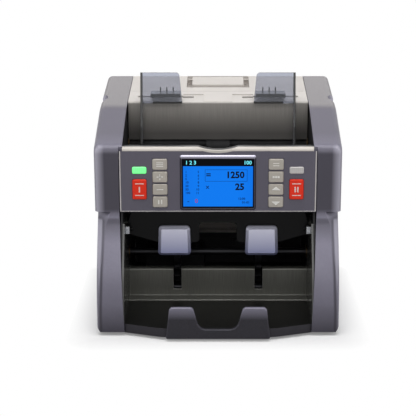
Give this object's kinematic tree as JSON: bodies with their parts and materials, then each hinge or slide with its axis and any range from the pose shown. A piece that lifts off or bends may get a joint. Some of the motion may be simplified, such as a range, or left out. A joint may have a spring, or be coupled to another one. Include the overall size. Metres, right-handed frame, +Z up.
{
  "type": "banknote counting machine",
  "caption": "Desktop banknote counter with a top hopper and sliding note guides, a display console with keys, a front stacker pocket with finger wheels, and a hinged rear door.",
  "frame": {"origin": "middle of the bounding box on the surface that the feet stand on", "axes": "+Z up, front towards -Y, +X to the right of someone facing the front"},
  "size_m": [0.258, 0.246, 0.2579],
  "materials": {
    "cover_paint": "metallic violet-grey paint on moulded plastic",
    "panel_paint": "dark violet-grey satin",
    "rim_ivory": "ivory satin",
    "cream": "cream satin",
    "black_plastic": "black fine grain",
    "black_steel": "black powder coat",
    "bezel_silver": "silver gloss",
    "display": "lit blue display glass",
    "lamp_green": "lit green lens",
    "lamp_white": "unlit white lens",
    "key_beige": "beige satin",
    "key_red": "red gloss",
    "smoke": "translucent smoke grey",
    "pad_grey": "violet-grey satin",
    "gate_grey": "dark violet-grey satin",
    "plate_grey": "grey satin paint",
    "steel": "ground steel",
    "zinc": "zinc plate",
    "rubber": "black rubber",
    "roller_rubber": "grey rubber",
    "belt_rubber": "black rubber",
    "board_green": "green solder mask",
    "brass": "sintered bronze"
  },
  "bodies": {
    "chassis": {"base_pan": "black_plastic", "chute_guide": "black_plastic", "console_panel": "panel_paint", "console_rim": "rim_ivory", "control_board": "board_green", "cover_screws": "zinc", "display_bezel": "bezel_silver", "display_window": "display", "feed_belt": "belt_rubber", "feed_motor": "zinc", "front_gate": "gate_grey", "hopper_back_cover": "cream", "hopper_floor": "black_plastic", "left_frame": "black_steel", "left_pocket_wall": "black_plastic", "left_side_cover": "cover_paint", "left_status_lamp": "lamp_green", "lower_image_sensor": "black_plastic", "main_board": "board_green", "port_sockets": "steel", "power_inlet": "black_plastic", "power_supply": "zinc", "rear_panel": "black_plastic", "right_frame": "black_steel", "right_pocket_wall": "black_plastic", "right_side_cover": "cover_paint", "right_status_lamp": "lamp_white", "rubber_feet": "rubber", "shaft_bushes": "brass", "stacker_back_plate": "plate_grey", "stacker_motor": "black_steel", "tie_bars": "zinc"},
    "right_guide": {"right_note_guide": "smoke"},
    "left_guide": {"left_note_guide": "smoke"},
    "pinion": {"guide_pinion": "black_plastic"},
    "door": {"rear_door": "cream", "door_guide": "black_plastic", "upper_image_sensor": "black_plastic"},
    "latch": {"door_latch": "cream"},
    "hood": {"stacker_hood": "black_plastic", "stacker_pads": "pad_grey"},
    "rocker": {"power_switch": "black_plastic"},
    "pickup": {"pickup_shaft": "steel", "pickup_rollers": "roller_rubber"},
    "feed": {"feed_shaft": "steel", "feed_rollers": "roller_rubber"},
    "motor_rotor": {"motor_pulley": "steel"},
    "retard": {"retard_roller": "roller_rubber"},
    "stacker": {"stacker_shaft": "steel", "stacker_wheels": "black_plastic"},
    "key_left_1_body": {"key_left_1": "key_beige"},
    "key_left_2_body": {"key_left_2": "key_beige"},
    "key_left_3_body": {"key_left_3": "key_beige"},
    "key_left_4_body": {"key_left_4": "key_beige"},
    "key_right_1_body": {"key_right_1": "key_beige"},
    "key_right_2_body": {"key_right_2": "key_beige"},
    "key_right_3_body": {"key_right_3": "key_beige"},
    "key_right_4_body": {"key_right_4": "key_beige"},
    "start_key_left_body": {"start_key_left": "key_red"},
    "start_key_right_body": {"start_key_right": "key_red"}
  },
  "joints": [
    {"name": "key_left_1_press", "type": "slide", "parent": "chassis", "child": "key_left_1_body", "axis": [0, 1, 0], "range_m": [0, 0.0012], "stiffness_N_per_m": 500},
    {"name": "key_left_2_press", "type": "slide", "parent": "chassis", "child": "key_left_2_body", "axis": [0, 1, 0], "range_m": [0, 0.0012], "stiffness_N_per_m": 500},
    {"name": "key_left_3_press", "type": "slide", "parent": "chassis", "child": "key_left_3_body", "axis": [0, 1, 0], "range_m": [0, 0.0012], "stiffness_N_per_m": 500},
    {"name": "key_left_4_press", "type": "slide", "parent": "chassis", "child": "key_left_4_body", "axis": [0, 1, 0], "range_m": [0, 0.0012], "stiffness_N_per_m": 500},
    {"name": "key_right_1_press", "type": "slide", "parent": "chassis", "child": "key_right_1_body", "axis": [0, 1, 0], "range_m": [0, 0.0012], "stiffness_N_per_m": 500},
    {"name": "key_right_2_press", "type": "slide", "parent": "chassis", "child": "key_right_2_body", "axis": [0, 1, 0], "range_m": [0, 0.0012], "stiffness_N_per_m": 500},
    {"name": "key_right_3_press", "type": "slide", "parent": "chassis", "child": "key_right_3_body", "axis": [0, 1, 0], "range_m": [0, 0.0012], "stiffness_N_per_m": 500},
    {"name": "key_right_4_press", "type": "slide", "parent": "chassis", "child": "key_right_4_body", "axis": [0, 1, 0], "range_m": [0, 0.0012], "stiffness_N_per_m": 500},
    {"name": "start_key_left_press", "type": "slide", "parent": "chassis", "child": "start_key_left_body", "axis": [0, 1, 0], "range_m": [0, 0.0012], "stiffness_N_per_m": 500},
    {"name": "start_key_right_press", "type": "slide", "parent": "chassis", "child": "start_key_right_body", "axis": [0, 1, 0], "range_m": [0, 0.0012], "stiffness_N_per_m": 500},
    {"name": "right_guide_slide", "type": "slide", "parent": "chassis", "child": "right_guide", "axis": [1, 0, 0], "range_m": [-0.03, 0.014]},
    {"name": "left_guide_slide", "type": "slide", "parent": "chassis", "child": "left_guide", "axis": [-1, 0, 0], "range_m": [-0.03, 0.014]},
    {"name": "pinion_turn", "type": "hinge", "parent": "chassis", "child": "pinion", "pos_m": [0, 0.0325, 0.207], "axis": [0, -1, 0], "range_deg": [-232, 110]},
    {"name": "door_swing", "type": "hinge", "parent": "chassis", "child": "door", "pos_m": [0, 0.114, 0.057], "axis": [-1, 0, 0], "range_deg": [0, 75]},
    {"name": "latch_pull", "type": "hinge", "parent": "door", "child": "latch", "pos_m": [0, 0.1095, 0.23591], "axis": [-1, 0, 0], "range_deg": [0, 25]},
    {"name": "hood_swing", "type": "hinge", "parent": "chassis", "child": "hood", "pos_m": [0, -0.04975, 0.101], "axis": [-1, 0, 0], "range_deg": [0, 35]},
    {"name": "rocker_tilt", "type": "hinge", "parent": "chassis", "child": "rocker", "pos_m": [0.03, 0.11325, 0.03], "axis": [-1, 0, 0], "range_deg": [0, 16]},
    {"name": "feed_turn", "type": "hinge", "parent": "chassis", "child": "feed", "pos_m": [0, 0.026, 0.15307], "axis": [-1, 0, 0], "continuous": true},
    {"name": "pickup_turn", "type": "hinge", "parent": "chassis", "child": "pickup", "pos_m": [0, -0.015, 0.16617], "axis": [-1, 0, 0], "continuous": true},
    {"name": "motor_turn", "type": "hinge", "parent": "chassis", "child": "motor_rotor", "pos_m": [0, -0.016, 0.125], "axis": [-1, 0, 0], "continuous": true},
    {"name": "retard_turn", "type": "hinge", "parent": "chassis", "child": "retard", "pos_m": [0, 0.034, 0.17717], "axis": [-1, 0, 0], "continuous": true},
    {"name": "stacker_turn", "type": "hinge", "parent": "chassis", "child": "stacker", "pos_m": [0, 0.008, 0.058], "axis": [1, 0, 0], "continuous": true}
  ],
  "couplings": [
    {"joint": "left_guide_slide", "follows": "right_guide_slide", "ratio": 1},
    {"joint": "pinion_turn", "follows": "right_guide_slide", "rad_per_m": 133.33},
    {"joint": "pickup_turn", "follows": "feed_turn", "ratio": 1.2},
    {"joint": "motor_turn", "follows": "feed_turn", "ratio": 1.5}
  ]
}
